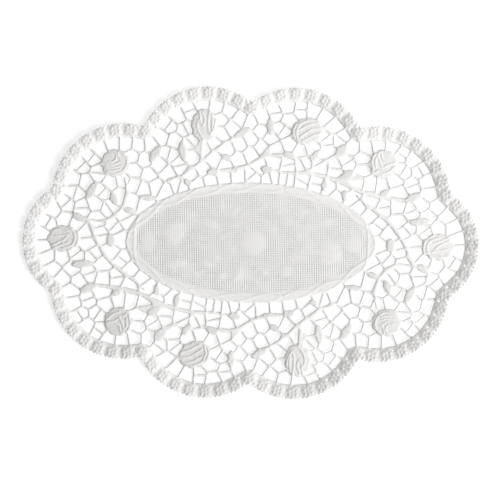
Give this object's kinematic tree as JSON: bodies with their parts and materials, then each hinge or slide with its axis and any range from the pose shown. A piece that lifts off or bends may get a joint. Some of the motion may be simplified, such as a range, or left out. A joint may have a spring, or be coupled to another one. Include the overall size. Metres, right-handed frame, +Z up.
{
  "type": "oval lace doily",
  "caption": "Flat oval paper doily with a scalloped floret edge, an open lace net with embossed roses and leaves, and a plain linen-embossed oval middle.",
  "frame": {"origin": "middle of the oval, on the flat underside", "axes": "+X along the oval's length, +Y across it, +Z up out of the embossed face"},
  "size_m": [0.305, 0.208, 0.0017],
  "materials": {
    "paper": "uncoated white paper, embossed, matt"
  },
  "bodies": {
    "root": {"doily": "paper"}
  },
  "joints": []
}
